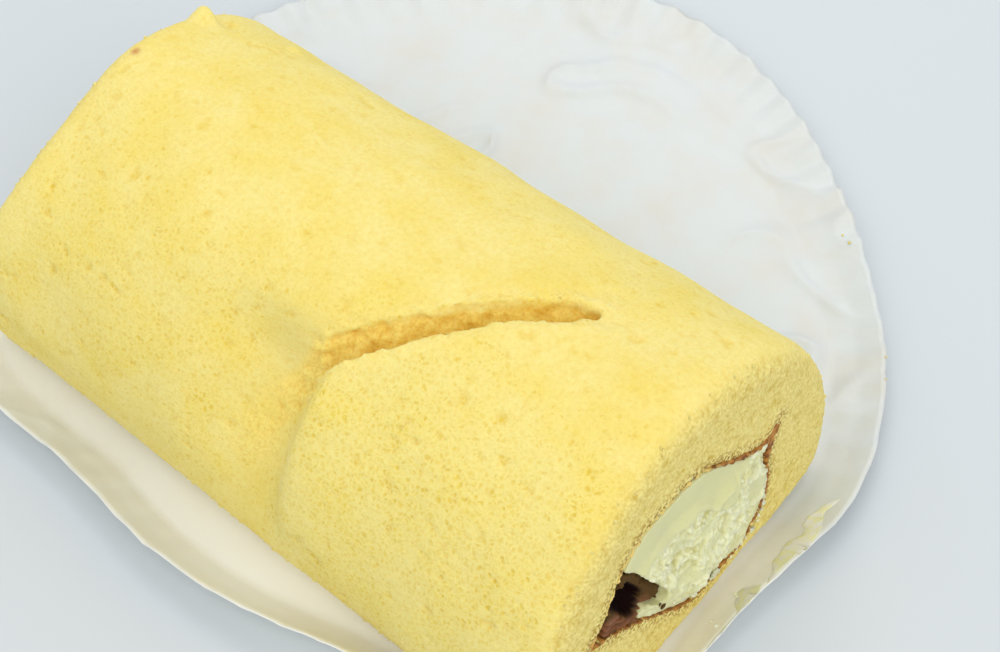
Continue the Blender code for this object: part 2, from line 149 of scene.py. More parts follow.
NOISE_SEED = 1796075936
PAPER_SEGMENTS = 576
CASE_SPOKES = 288
FLUTE_SPOKES = (-2, -1, 0, 1)
FLUTE_SHARE = 0.75
PAPER_THICKNESS = 0.14 * MM
PAPER_FINE_RING = 0.8 * MM
PAPER_FINE_BAND = 14.0 * MM
PAPER_COARSE_RING = 1.1 * MM
EDGE_WAVE = 0.6 * MM
EDGE_WAVE_PITCH = 5.5 * MM
CREASE_HEIGHT = 0.95 * MM
CREASE_PITCH = 26.0 * MM
CREASE_BEND = 0.8
CREASE_THINNESS = 9.0
CREASE_PATCH = Vector((7.0, 3.0, 1.0))
WRINKLE_PITCH = 15.0 * MM
SWELL_HEIGHT = 0.6 * MM
SWELL_PITCH = 9.0 * MM
ROLL_KEEP_OFF = 3.0 * MM
PAINTED_LIGHT_REACH = 13.0 * MM
PAINTED_LIGHT_FROM = -25.0 * MM
PAINTED_LIGHT_TO = 25.0 * MM
PAINTED_LIGHT_LEAST = 0.6
PAINTED_LIGHT_FADE = 0.6
RIM_TOP = 8.0 * MM
RAY_START = 0.1
DOWN = Vector((0.0, 0.0, -1.0))
MOTTLE_SIZE = 9.0 * MM
FIBRE_SIZE = 0.8 * MM
PAPER_WHITE = "D1D5D3"
PAPER_SHADE = "D1D0C9"
PAPER_PAINTED_LIGHT = "FAF9F0"


def ease(low, high, value):
    """Ease from 0 at low to 1 at high."""
    share = min(max((value - low) / (high - low), 0.0), 1.0)
    return share * share * (3.0 - 2.0 * share)


def mix(low, high, share):
    return low + (high - low) * share


def tree_of(name):
    """Search tree over a CAD node's faces."""
    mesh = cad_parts[name].data
    return BVHTree.FromPolygons([v.co for v in mesh.vertices], [p.vertices for p in mesh.polygons])


def surface_under(tree, x, y, rim_height):
    """Place where a surface lies under a point, or its rim where it doesn't reach that far."""
    hit = tree.ray_cast(Vector((x, y, RAY_START)), DOWN)[0]
    return hit or tree.find_nearest(Vector((x, y, rim_height)))[0]


def select_only(piece):
    deselect_all()
    piece.select_set(True)
    bpy.context.view_layer.objects.active = piece


def apply_modifier(piece, kind, **settings):
    modifier = piece.modifiers.new(kind.lower(), kind)
    for name, setting in settings.items():
        setattr(modifier, name, setting)
    bpy.context.view_layer.objects.active = piece
    bpy.ops.object.modifier_apply(modifier=modifier.name)


def add_attribute(piece, name, values):
    attribute = piece.data.attributes.new(name, "FLOAT", "POINT")
    attribute.data.foreach_set("value", values)


def feed(shader, **sockets):
    """Link sockets to the inputs of a shader that they are named for."""
    for label, socket in sockets.items():
        shader.id_data.links.new(socket, shader.inputs[label.replace("_", " ")])


def finish_piece(piece, material, replaced=None):
    """Give a finished piece its smooth shading, its material and its place in the frame."""
    select_only(piece)
    bpy.ops.object.shade_smooth()
    piece.data.materials.append(material)
    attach(piece, "root")
    if replaced:
        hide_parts(replaced)


# Without a seed, noise vectors start from the clock and differ from run to run.
noise.seed_set(NOISE_SEED)
case_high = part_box("paper_case")[1]
sponge_low, sponge_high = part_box("sponge")
case_tree = tree_of("paper_case")
edge_angles = [math.tau * i / CASE_SPOKES for i in range(CASE_SPOKES)]
edge_reaches = np.zeros(CASE_SPOKES)
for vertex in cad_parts["paper_case"].data.vertices:
    turn = math.atan2(vertex.co.y, vertex.co.x) / math.tau
    spoke = round(turn * CASE_SPOKES) % CASE_SPOKES
    edge_reaches[spoke] = max(edge_reaches[spoke], vertex.co.xy.length)
edge_reaches = sum(np.roll(edge_reaches, k) for k in FLUTE_SPOKES) / len(FLUTE_SPOKES)

deselect_all()
bpy.ops.mesh.primitive_circle_add(vertices=PAPER_SEGMENTS, radius=1.0, fill_type="NOTHING")
paper = bpy.context.object
paper.name = "paper_case_sheet"
bpy.ops.object.mode_set(mode="EDIT")
bpy.ops.mesh.select_all(action="SELECT")
ring_reach = case_high.x
while ring_reach > 2.0 * PAPER_COARSE_RING:
    in_rim = ring_reach > case_high.x - PAPER_FINE_BAND
    next_reach = ring_reach - (PAPER_FINE_RING if in_rim else PAPER_COARSE_RING)
    bpy.ops.mesh.extrude_edges_move()
    bpy.ops.transform.resize(value=(next_reach / ring_reach, next_reach / ring_reach, 1.0))
    ring_reach = next_reach
bpy.ops.mesh.extrude_edges_move()
bpy.ops.mesh.merge(type="CENTER")
bpy.ops.mesh.select_all(action="SELECT")
bpy.ops.mesh.normals_make_consistent(inside=False)
bpy.ops.object.mode_set(mode="OBJECT")


def case_top(reach, angle):
    """Height of the CAD paper's upper side."""
    x = reach * math.cos(angle)
    return surface_under(case_tree, x, reach * math.sin(angle), RIM_TOP).z


def paper_height(reach, angle, outside_roll):
    """Height of the paper's underside: the CAD rim with faint, uneven flutes, and soft creases."""
    place = Vector((reach * math.cos(angle), reach * math.sin(angle), 0.0))
    spoke_angle = math.tau / CASE_SPOKES
    tops = [case_top(reach, angle + k * spoke_angle) for k in FLUTE_SPOKES]
    calm = sum(tops) / len(tops)
    uneven = FLUTE_SHARE * (1.0 + noise.noise(place / CREASE_PITCH))
    top = calm + uneven * (case_top(reach, angle) - calm)
    bend = noise.noise_vector(place / CREASE_PITCH) * CREASE_BEND
    crease = (1.0 - abs(noise.noise(place / WRINKLE_PITCH + bend))) ** CREASE_THINNESS
    patch = ease(-0.15, 0.35, noise.noise(place / CREASE_PITCH + CREASE_PATCH))
    swell = 0.5 + 0.5 * noise.noise(place / SWELL_PITCH)
    free = ease(-ROLL_KEEP_OFF, 3.0 * ROLL_KEEP_OFF, outside_roll)
    folds = free * (CREASE_HEIGHT * crease * patch + SWELL_HEIGHT * swell)
    return max(top - 2.0 * PAPER_THICKNESS, 0.0) + folds


painted_light = []
for vertex in paper.data.vertices:
    angle = math.atan2(vertex.co.y, vertex.co.x)
    edge = float(np.interp(angle, edge_angles, edge_reaches, period=math.tau))
    edge_place = Vector((math.cos(angle), math.sin(angle), 0.5)) * edge / EDGE_WAVE_PITCH
    edge -= EDGE_WAVE * (0.5 + 0.5 * noise.noise(edge_place))
    reach = min(math.hypot(vertex.co.x, vertex.co.y), 1.0) * (edge - PAPER_THICKNESS)
    x = reach * math.cos(angle)
    y = reach * math.sin(angle)
    outside_roll = max(sponge_low.x - x, x - sponge_high.x, y - sponge_high.y, sponge_low.y - y)
    vertex.co = (x, y, paper_height(reach, angle, outside_roll))
    # Painted light: paper before the roll, near it and towards its near end, is painted whiter.
    behind = ease(-1.5 * PAINTED_LIGHT_REACH, 0.0, y)
    towards_end = mix(PAINTED_LIGHT_LEAST, 1.0, ease(PAINTED_LIGHT_FROM, PAINTED_LIGHT_TO, x))
    beside = 1.0 - PAINTED_LIGHT_FADE * ease(0.0, PAINTED_LIGHT_REACH, outside_roll)
    painted_light.append((1.0 - behind) * towards_end * beside)
add_attribute(paper, "painted_light", painted_light)
apply_modifier(paper, "SOLIDIFY", thickness=PAPER_THICKNESS, offset=1.0)
paper_tree = BVHTree.FromPolygons([v.co for v in paper.data.vertices],
                                  [p.vertices for p in paper.data.polygons])

# Greaseproof paper: calendered wood pulp, a little glossy and translucent, faintly mottled. Its
# fibres are drawn coarser than they are, so that they show.
paper_material, paper_shader, paper_place = new_material(
    "greaseproof_paper", Roughness=0.45, IOR=1.45, Subsurface_Weight=0.15,
    Subsurface_Radius=(1.0, 1.0, 0.9), Subsurface_Scale=0.5 * MM)
mottle = add_node(paper_material, "TexNoise", {"Scale": 1.0 / MOTTLE_SIZE, "Detail": 4.0},
                  {"Vector": paper_place})
blotch = add_node(paper_material, "MapRange", {"From Min": 0.42, "From Max": 0.66},
                  {"Value": mottle.outputs["Fac"]})
paper_colour = add_node(paper_material, "Mix", {6: linear(PAPER_WHITE), 7: linear(PAPER_SHADE)},
                        {0: blotch.outputs["Result"]}, data_type="RGBA")
# The paper's colour is whitened by this mask: painted light in the roll's shade.
painted_light_share = add_node(paper_material, "Attribute", attribute_name="painted_light").outputs["Fac"]
paper_lit = add_node(paper_material, "Mix", {7: linear(PAPER_PAINTED_LIGHT)},
                   {0: painted_light_share, 6: paper_colour.outputs[2]}, data_type="RGBA")
fibre = add_node(paper_material, "TexNoise", {"Scale": 1.0 / FIBRE_SIZE, "Detail": 3.0},
                 {"Vector": paper_place})
paper_bump = add_node(paper_material, "Bump", {"Strength": 0.2, "Distance": 0.05 * MM},
                      {"Height": fibre.outputs["Fac"]})
feed(paper_shader, Base_Color=paper_lit.outputs[2], Normal=paper_bump.outputs["Normal"])
finish_piece(paper, paper_material, "paper_case")


# Sponge: one sheet of baked egg sponge rolled up with its peeled, porous side out. Gas pores pit
# it, its cut ends are bare crumb, and the press mark in its top is torn crumb.

SPONGE_VOXEL = 0.52 * MM
MERGE_DISTANCE = 0.01 * MM
HIDDEN_DEPTH = 4.0 * MM
HIDDEN_REST = 0.06
RIM_BAND = 2.6 * MM
TUNNEL_BAND = 1.2 * MM
BASE_BAND = 0.3 * MM
BASE_FACING = 0.95
END_FACING = 0.6
LONG_FACE = 30.0 * MM
SHORT_EDGE = 5.0 * MM
SOFTEN_TURNS = 10
MARK_TURNS = 2
ROLL_AXIS_Y = -26.88 * MM
ROLL_BASE = 0.6 * MM
END_NEAR_X = 57.87 * MM
END_FAR_X = -49.33 * MM
LEAN_NEAR = -0.122
LEAN_FAR = 0.135
MARK_START = Vector((35.07 * MM, -17.58 * MM))
MARK_END = Vector((8.17 * MM, -45.58 * MM))
MARK_WIDTH = 3.4 * MM
MARK_DEPTH = 1.3 * MM
CREST_Y = -24.9 * MM
CREST_HALF_BACK = 31.7 * MM
CREST_HALF_FRONT = 29.2 * MM
CREST_HEIGHT = 39.4 * MM
CREST_BELLY = 0.29
CREST_POWER = 1.95
VALLEY_PLACE = Vector((5.5, -48.5, 20.5)) * MM
VALLEY_REACH = 7.0 * MM
FOLD_X = 10.0 * MM
FOLD_EASE = 3.0 * MM
FOLD_FADE = 14.0 * MM
TAG_PLACE = Vector((-42.2, -8.6, 34.4)) * MM
TAG_HEIGHT = 1.9 * MM
TAG_SIZE = 3.4 * MM
TAG_CUT = 0.5 * MM
NOTCH_PLACE = Vector((-39.6, -6.8, 33.7)) * MM
NOTCH_DEPTH = 0.8 * MM
NOTCH_SIZE = 2.0 * MM
BUMP_PLACE = Vector((-30.9, -2.9, 30.7)) * MM
BUMP_HEIGHT = 0.6 * MM
SCORCH_PLACE = Vector((-41.6, -22.0, 38.1)) * MM
SCORCH_SIZE = 1.2 * MM
PIT_PITCH = 2.3 * MM
PIT_DEPTH = 0.3 * MM
CELL_PITCH = 1.25 * MM
CELL_DEPTH = 0.13 * MM
CRUMB_PITCH = 1.15 * MM
CRUMB_DEPTH = 0.1 * MM
TORN_PITCH = 1.6 * MM
TORN_DEPTH = 0.6 * MM
LIP_DEPTH = 0.45 * MM
SOFT_PITCH = 8.0 * MM
SOFT_DEPTH = 0.3 * MM
PROUD_LIMIT = 0.25 * MM
EDGE_BAND = 5.0 * MM
EDGE_CRUMB = 0.42
SPONGE_SHARES = ("crumb", "torn", "open", "pit", "baked", "scorched")
CLOUD_SIZE = 7.0 * MM
PORE_PITCH = 0.75 * MM
PORE_WIDEST = 0.55
PORE_SOFTNESS = 0.4
FOAM_PITCH = 0.7 * MM
CRUMB_GRAIN = 0.42 * MM
FINE_GRAIN = 0.4 * MM
SPONGE_PALE = "ECDB8A"
SPONGE_DEEP = "E8CE58"
SPONGE_PORE_SHADE_AND_MOTTLE = "E0BE46"
SPONGE_WALL_HIGHLIGHT = "F4E89C"
CRUMB_PALE = "F4E28E"
CRUMB_RECESS_SHADE = "D4B44A"
TORN_GOLD = "F8E07C"
TORN_RECESS_SHADE = "E6BC4C"
BAKED_OLIVE = "9A6E2E"
SCORCH_BROWN = "C4864A"


def merged_copy(node, name):
    """Copy of a CAD solid as a new piece, its loose triangles merged, alone selected."""
    piece = bpy.data.objects.new(name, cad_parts[node].data.copy())
    bpy.context.scene.collection.objects.link(piece)
    piece.data.name = name
    piece.data.materials.clear()
    select_only(piece)
    bpy.ops.object.mode_set(mode="EDIT")
    bpy.ops.mesh.select_all(action="SELECT")
    bpy.ops.mesh.remove_doubles(threshold=MERGE_DISTANCE)
    bpy.ops.object.mode_set(mode="OBJECT")
    return piece


def select_faces(piece, chosen):
    """Select just the faces for which chosen(polygon) is true, and go into edit mode."""
    bpy.ops.object.mode_set(mode="EDIT")
    bpy.ops.mesh.select_mode(type="FACE")
    bpy.ops.mesh.select_all(action="DESELECT")
    bpy.ops.object.mode_set(mode="OBJECT")
    for polygon in piece.data.polygons:
        polygon.select = chosen(polygon)
    bpy.ops.object.mode_set(mode="EDIT")


def vertex_normals(piece):
    return [Vector(entry.vector) for entry in piece.data.vertex_normals]


def end_depth(place):
    """How far a point lies inside the nearer end face of the roll."""
    rise = place.z - ROLL_BASE
    return min(END_NEAR_X + LEAN_NEAR * rise - place.x, place.x - END_FAR_X - LEAN_FAR * rise)


def cells(place, pitch):
    """Honeycomb of open crumb: 0 on its thin walls and 1 in its cells."""
    wobble = noise.noise_vector(place / (0.8 * pitch)) * (0.3 * pitch)
    distances = noise.voronoi((place + wobble) / pitch)[0]
    return ease(0.05, 0.5, distances[1] - distances[0])


def grain(place, pitch):
    """Uneven grain of two sizes, about -1 to 1."""
    return noise.noise(place / pitch) + 0.6 * noise.noise(place / (0.45 * pitch))


def near_to(place, middle, size):
    """1 at the middle of a spot, 0 outside its size."""
    return 1.0 - ease(0.0, size, (place - middle).length)


def crest_height(y):
    """Height of the roll's smooth top before it was pressed."""
    half = CREST_HALF_BACK if y > CREST_Y else CREST_HALF_FRONT
    side = min(abs(y - CREST_Y) / half, 1.0)
    lift = (1.0 - side ** CREST_POWER) ** (1.0 / CREST_POWER)
    return ROLL_BASE + CREST_HEIGHT * mix(CREST_BELLY, 1.0, lift)


def mark_place(place):
    """Shares of the press mark's length and width at which a place lies."""
    run = MARK_END - MARK_START
    offset = place.xy - MARK_START
    along = offset.dot(run.normalized()) / run.length
    return along, offset.dot(Vector((run.y, -run.x)).normalized()) / MARK_WIDTH


def mark_share(place):
    """1 on the torn crumb inside the press mark, 0 on the skin round it."""
    along, across = mark_place(place)
    inside = ease(-0.35, -0.05, across) * (1.0 - ease(0.9, 1.3, across))
    inside *= ease(-0.1, 0.0, along) * (1.0 - ease(0.9, 1.15, along))
    return inside * ease(0.2 * MARK_DEPTH, MARK_DEPTH, crest_height(place.y) - place.z)


def mark_rim(place):
    """1 on the ragged lips of the press mark, 0 away from them."""
    along, across = mark_place(place)
    rim = ease(-0.7, -0.3, across) * (1.0 - ease(1.2, 1.6, across))
    return rim * ease(-0.15, 0.0, along) * (1.0 - ease(0.8, 1.0, along))


def mouth_edges(mesh, towards):
    """Edges of a CAD sponge where its tunnel and seam open into one cut end."""
    long_faces = {}
    for polygon in mesh.polygons:
        xs = [mesh.vertices[v].co.x for v in polygon.vertices]
        is_long = max(xs) - min(xs) > LONG_FACE
        for key in polygon.edge_keys:
            long_faces.setdefault(key, []).append(is_long)
    chosen = []
    for edge in mesh.edges:
        start, end = [mesh.vertices[v].co for v in edge.vertices]
        mixed = len(set(long_faces[edge.key])) == 2
        if mixed and start.x * towards > 0.0 and abs(start.x - end.x) < SHORT_EDGE:
            chosen.append(edge.index)
    return chosen


filling_trees = (tree_of("cream"), tree_of("chocolate"))


def filling_distance(place):
    return min(tree.find_nearest(place)[3] for tree in filling_trees)


sponge = merged_copy("sponge", "sponge_sheet")
mouth_points = []
for towards in (1.0, -1.0):
    for index in mouth_edges(sponge.data, towards):
        start, end = [sponge.data.vertices[v].co.copy() for v in sponge.data.edges[index].vertices]
        steps = max(round((end - start).length / SPONGE_VOXEL), 1)
        mouth_points += [start.lerp(end, i / steps) for i in range(steps + 1)]
mouth_tree = KDTree(len(mouth_points))
for i, point in enumerate(mouth_points):
    mouth_tree.insert(point, i)
mouth_tree.balance()

# A fine even mesh, smoothed where skin shows, thinned where nothing shows, finer at the mouths.
apply_modifier(sponge, "REMESH", mode="VOXEL", voxel_size=SPONGE_VOXEL)
sponge_tree = tree_of("sponge")
for vertex in sponge.data.vertices:
    vertex.co = sponge_tree.find_nearest(vertex.co)[0]
soft_places = sponge.vertex_groups.new(name="soft")
for vertex in sponge.data.vertices:
    mouth_gap = mouth_tree.find(vertex.co)[2]
    in_tunnel = filling_distance(vertex.co) < TUNNEL_BAND
    if mouth_gap > RIM_BAND and not in_tunnel and vertex.co.z > ROLL_BASE + 0.5 * MM:
        soft_places.add([vertex.index], 1.0, "REPLACE")
apply_modifier(sponge, "SMOOTH", factor=0.5, iterations=SOFTEN_TURNS, vertex_group="soft")
sponge.vertex_groups.clear()
select_faces(sponge, lambda face: filling_distance(face.center) < TUNNEL_BAND
             and end_depth(face.center) > HIDDEN_DEPTH)
bpy.ops.mesh.decimate(ratio=HIDDEN_REST)
select_faces(sponge, lambda face: face.normal.z < -BASE_FACING
             and face.center.z < ROLL_BASE + BASE_BAND)
bpy.ops.mesh.decimate(ratio=HIDDEN_REST)
select_faces(sponge, lambda face: abs(face.normal.x) > END_FACING
             and end_depth(face.center) < RIM_BAND and mouth_tree.find(face.center)[2] < RIM_BAND)
bpy.ops.mesh.subdivide(number_cuts=1)
bpy.ops.object.mode_set(mode="OBJECT")

# Relief of skin, cut crumb and torn crumb, with the shares of each that the material reads.
sponge_normals = vertex_normals(sponge)
attributes = {name: [0.0] * len(sponge_normals) for name in SPONGE_SHARES}
for i, vertex in enumerate(sponge.data.vertices):
    place = vertex.co.copy()
    normal = sponge_normals[i]
    depth_in = end_depth(place)
    crumb = ease(0.45, 0.85, abs(normal.x)) * (1.0 - ease(0.5 * MM, 3.0 * MM, depth_in))
    ragged = max(1.0 - ease(0.0, EDGE_BAND, depth_in), mark_rim(place))
    crumb = max(crumb, EDGE_CRUMB * ragged * ease(-0.5, 0.3, noise.noise(place / EDGE_BAND)))
    torn = mark_share(place)
    # The dip on the front flank beside the fold is painted the torn crumb's gold with more open
    # pores: painted shade over pores that are really open there.
    valley = near_to(place, VALLEY_PLACE, VALLEY_REACH)
    side = ease(-0.15, 0.7, -normal.y) + 0.6 * ease(0.2, 0.8, normal.y)
    by_fold = ease(FOLD_X - FOLD_EASE, FOLD_X + FOLD_EASE, place.x)
    far_side = ease(FOLD_X, FOLD_X - FOLD_FADE, place.x)
    openness = side * mix(0.3, 1.0, max(by_fold, 0.6 * far_side)) + valley
    openness = min(openness, 1.0) * (1.0 - torn) * (1.0 - crumb)
    pit = ease(0.35, 0.9, grain(place, PIT_PITCH)) * (1.0 - crumb)
    cell = cells(place, CELL_PITCH) * openness
    crumb_grain = grain(place, CRUMB_PITCH)
    torn_grain = grain(place, TORN_PITCH)
    push = SOFT_DEPTH * (noise.noise(place / SOFT_PITCH) - 0.3)
    push -= PIT_DEPTH * pit * mix(0.3, 1.0, openness)
    push -= CELL_DEPTH * cell
    push += CRUMB_DEPTH * crumb * (crumb_grain - 0.4)
    push += TORN_DEPTH * torn * (torn_grain - 0.5)
    push += LIP_DEPTH * mark_rim(place) * (torn_grain - 0.5)
    push = min(push, PROUD_LIMIT)
    tag_front = ease(TAG_CUT, -TAG_CUT, place.y - TAG_PLACE.y)
    push += TAG_HEIGHT * near_to(place, TAG_PLACE, TAG_SIZE) * tag_front
    push += BUMP_HEIGHT * near_to(place, BUMP_PLACE, NOTCH_SIZE)
    push -= NOTCH_DEPTH * near_to(place, NOTCH_PLACE, NOTCH_SIZE)
    mouth_gap = mouth_tree.find(place)[2]
    in_tunnel = depth_in > 0.6 * MM and filling_distance(place) < 0.9 * MM
    if in_tunnel or place.z < ROLL_BASE + BASE_BAND:
        push = 0.0
    vertex.co = place + normal * push
    attributes["crumb"][i] = crumb
    # The dip beside the fold takes the torn crumb's gold as painted shade.
    attributes["torn"][i] = min(torn + 0.7 * valley, 1.0)
    attributes["open"][i] = openness
    # Pits and the recesses of cut and torn crumb are painted darker in the material: painted
    # shade.
    hollow_shades = max(ease(0.1, -0.8, crumb_grain) * crumb, ease(0.0, -0.9, torn_grain) * torn)
    attributes["pit"][i] = max(pit * mix(0.35, 0.8, openness), hollow_shades)
    attributes["baked"][i] = (1.0 - ease(0.3 * MM, 2.6 * MM, mouth_gap)) * crumb
    attributes["scorched"][i] = near_to(place, SCORCH_PLACE, SCORCH_SIZE)
for name, values in attributes.items():
    add_attribute(sponge, name, values)
mark_places = sponge.vertex_groups.new(name="mark")
for vertex in sponge.data.vertices:
    if mark_rim(vertex.co) > 0.0:
        mark_places.add([vertex.index], 1.0, "REPLACE")
apply_modifier(sponge, "SMOOTH", factor=0.5, iterations=MARK_TURNS, vertex_group="mark")
sponge.vertex_groups.clear()

# Egg sponge: a pale yellow foam of egg, sugar and flour, matt and a little translucent, its torn
# places a deeper gold. Its pores, pits and crumb recesses are painted darker as painted shade,
# the walls between its pores are painted paler as painted highlight, and the dip beside the fold
# is painted gold as painted shade over its open pores.
sponge_material, sponge_shader, sponge_place = new_material(
    "egg_sponge", Roughness=0.85, IOR=1.4, Specular_IOR_Level=0.25, Subsurface_Weight=0.3,
    Subsurface_Radius=(1.0, 0.75, 0.25), Subsurface_Scale=1.6 * MM)
shares = {name: add_node(sponge_material, "Attribute", attribute_name=name).outputs["Fac"]
          for name in attributes}
clouds = add_node(sponge_material, "TexNoise", {"Scale": 1.0 / CLOUD_SIZE, "Detail": 4.0},
                  {"Vector": sponge_place})
cloud_share = add_node(sponge_material, "MapRange", {"From Min": 0.4, "From Max": 0.68,
                       "To Max": 0.55}, {"Value": clouds.outputs["Fac"]})
skin_deep = add_node(sponge_material, "Math", {1: 0.35}, {0: shares["open"],
                     2: cloud_share.outputs["Result"]}, operation="MULTIPLY_ADD", use_clamp=True)
skin = add_node(sponge_material, "Mix", {6: linear(SPONGE_PALE), 7: linear(SPONGE_DEEP)},
                {0: skin_deep.outputs["Value"]}, data_type="RGBA")
warp = add_node(sponge_material, "TexNoise", {"Scale": 1.0 / (1.5 * PORE_PITCH), "Detail": 2.0},
                {"Vector": sponge_place})
pore_place = add_node(sponge_material, "VectorMath", {1: (2.0 * PORE_PITCH,) * 3},
                      {0: warp.outputs["Color"], 2: sponge_place}, operation="MULTIPLY_ADD")
pores = add_node(sponge_material, "TexVoronoi", {"Scale": 1.0 / PORE_PITCH},
                 {"Vector": pore_place.outputs["Vector"]})
pore_walls = add_node(sponge_material, "TexVoronoi", {"Scale": 1.0 / PORE_PITCH},
                      {"Vector": pore_place.outputs["Vector"]}, feature="DISTANCE_TO_EDGE")
pore_size = add_node(sponge_material, "SeparateColor", None, {"Color": pores.outputs["Color"]})
pore_reach = add_node(sponge_material, "MapRange", {"From Min": 0.1, "From Max": 1.0,
                      "To Max": PORE_WIDEST}, {"Value": pore_size.outputs["Red"]})
pore_inside = add_node(sponge_material, "Math", None, {0: pore_reach.outputs["Result"],
                       1: pores.outputs["Distance"]}, operation="SUBTRACT")
any_pore = add_node(sponge_material, "MapRange", {"From Min": 0.0, "From Max": PORE_SOFTNESS},
                    {"Value": pore_inside.outputs["Value"]})
foam = add_node(sponge_material, "TexNoise", {"Scale": 1.0 / FOAM_PITCH, "Detail": 4.0,
                "Roughness": 0.65}, {"Vector": sponge_place})
foam_share = add_node(sponge_material, "MapRange", {"From Min": 0.4, "From Max": 0.7,
                      "To Max": 0.35}, {"Value": foam.outputs["Fac"]})
pore_open = add_node(sponge_material, "MapRange", {"To Min": 0.35}, {"Value": shares["open"]})
pore_patch = add_node(sponge_material, "MapRange", {"From Min": 0.35, "From Max": 0.6,
                      "To Min": 0.35}, {"Value": clouds.outputs["Fac"]})
patchy_pore = add_node(sponge_material, "Math", None, {0: any_pore.outputs["Result"],
                       1: pore_patch.outputs["Result"]}, operation="MULTIPLY")
pore = add_node(sponge_material, "Math", None, {0: patchy_pore.outputs["Value"],
                1: pore_open.outputs["Result"]}, operation="MULTIPLY")
foamed = add_node(sponge_material, "Math", None, {0: foam_share.outputs["Result"],
                  1: shares["pit"]}, operation="ADD")
# Pores and pits painted a deeper yellow: painted shade, with a faint random mottle of the foam.
pore_shade_and_mottle = add_node(sponge_material, "Math", {1: 0.8}, {0: pore.outputs["Value"],
                      2: foamed.outputs["Value"]}, operation="MULTIPLY_ADD", use_clamp=True)
pore_shaded = add_node(sponge_material, "Mix", {7: linear(SPONGE_PORE_SHADE_AND_MOTTLE)},
                 {0: pore_shade_and_mottle.outputs["Value"], 6: skin.outputs[2]}, data_type="RGBA")
# The walls between open pores are painted paler: painted highlight.
wall_line = add_node(sponge_material, "MapRange", {"From Max": 0.3, "To Min": 0.5, "To Max": 0.0},
                     {"Value": pore_walls.outputs["Distance"]})
wall_highlight = add_node(sponge_material, "Math", None, {0: wall_line.outputs["Result"],
                      1: shares["open"]}, operation="MULTIPLY")
highlit_walls = add_node(sponge_material, "Mix", {7: linear(SPONGE_WALL_HIGHLIGHT)},
                  {0: wall_highlight.outputs["Value"], 6: pore_shaded.outputs[2]}, data_type="RGBA")
crumb_noise = add_node(sponge_material, "TexNoise", {"Scale": 1.0 / CRUMB_GRAIN, "Detail": 4.0},
                       {"Vector": sponge_place})
crumb_step = add_node(sponge_material, "MapRange", {"From Min": 0.42, "From Max": 0.64,
                      "To Max": 0.56}, {"Value": crumb_noise.outputs["Fac"]})
# Painted shade: cut and torn crumb darker in its recesses and, for cut crumb, in the dips of its
# bump.
crumb_recess_shade = add_node(sponge_material, "Math", {1: 0.45}, {0: shares["pit"],
                      2: crumb_step.outputs["Result"]}, operation="MULTIPLY_ADD", use_clamp=True)
crumb_colour = add_node(sponge_material, "Mix", {6: linear(CRUMB_PALE), 7: linear(CRUMB_RECESS_SHADE)},
                        {0: crumb_recess_shade.outputs["Value"]}, data_type="RGBA")
cut_face = add_node(sponge_material, "Mix", None, {0: shares["crumb"], 6: highlit_walls.outputs[2],
                    7: crumb_colour.outputs[2]}, data_type="RGBA")
torn_colour = add_node(sponge_material, "Mix", {6: linear(TORN_GOLD), 7: linear(TORN_RECESS_SHADE)},
                       {0: crumb_recess_shade.outputs["Value"]}, data_type="RGBA")
torn_face = add_node(sponge_material, "Mix", None, {0: shares["torn"], 6: cut_face.outputs[2],
                     7: torn_colour.outputs[2]}, data_type="RGBA")
baked_grain = add_node(sponge_material, "MapRange", {"From Min": 0.45, "From Max": 0.6},
                       {"Value": crumb_noise.outputs["Fac"]})
baked_mask = add_node(sponge_material, "Math", None, {0: shares["baked"],
                      1: baked_grain.outputs["Result"]}, operation="MULTIPLY")
baked_face = add_node(sponge_material, "Mix", {7: linear(BAKED_OLIVE)},
                      {0: baked_mask.outputs["Value"], 6: torn_face.outputs[2]}, data_type="RGBA")
scorched_face = add_node(sponge_material, "Mix", {7: linear(SCORCH_BROWN)},
                         {0: shares["scorched"], 6: baked_face.outputs[2]}, data_type="RGBA")
fine_grain = add_node(sponge_material, "TexNoise", {"Scale": 1.0 / FINE_GRAIN, "Detail": 3.0},
                      {"Vector": sponge_place})
skin_relief = add_node(sponge_material, "Math", {1: -0.8}, {0: pore.outputs["Value"],
                       2: fine_grain.outputs["Fac"]}, operation="MULTIPLY_ADD")
crumb_pit = add_node(sponge_material, "Math", None, {0: crumb_step.outputs["Result"],
                     1: shares["crumb"]}, operation="MULTIPLY")
relief = add_node(sponge_material, "Math", {1: -1.5}, {0: crumb_pit.outputs["Value"],
                  2: skin_relief.outputs["Value"]}, operation="MULTIPLY_ADD")
sponge_bump = add_node(sponge_material, "Bump", {"Strength": 0.6, "Distance": 0.2 * MM},
                       {"Height": relief.outputs["Value"]})
feed(sponge_shader, Base_Color=scorched_face.outputs[2], Normal=sponge_bump.outputs["Normal"])
finish_piece(sponge, sponge_material, "sponge")


# Browned skin: the baked top of the sponge sheet, rolled inside, shows at each cut end as a thin
# brown edge round the filling, thickest where the sheet is pinched, and down the seam.

SKIN_CUTS = 7
SKIN_STEPS = 4
SKIN_STEP = 0.6 * MM
SKIN_THICKEST = 1.1 * MM
SKIN_THINNEST = 0.2
SKIN_VOXEL = 0.2 * MM
SKIN_PROUD = 0.16 * MM
SKIN_ROUGH = 0.16 * MM
SKIN_GRAIN = 0.8 * MM
SKIN_STAIN = 0.9 * MM
SKIN_PATCH = Vector((18.3, 11.8, 0.0))
SKIN_PATCH_SIZE = 3.0
SKIN_BROWN = "C48A3E"
SKIN_DARK = "7C4516"
SKIN_LIGHT = "EBD07A"


def roll_section(place):
    """Where a point lies in the roll's section, in millimetres from its axis and base."""
    return (place.y - ROLL_AXIS_Y) / MM, (place.z - ROLL_BASE) / MM


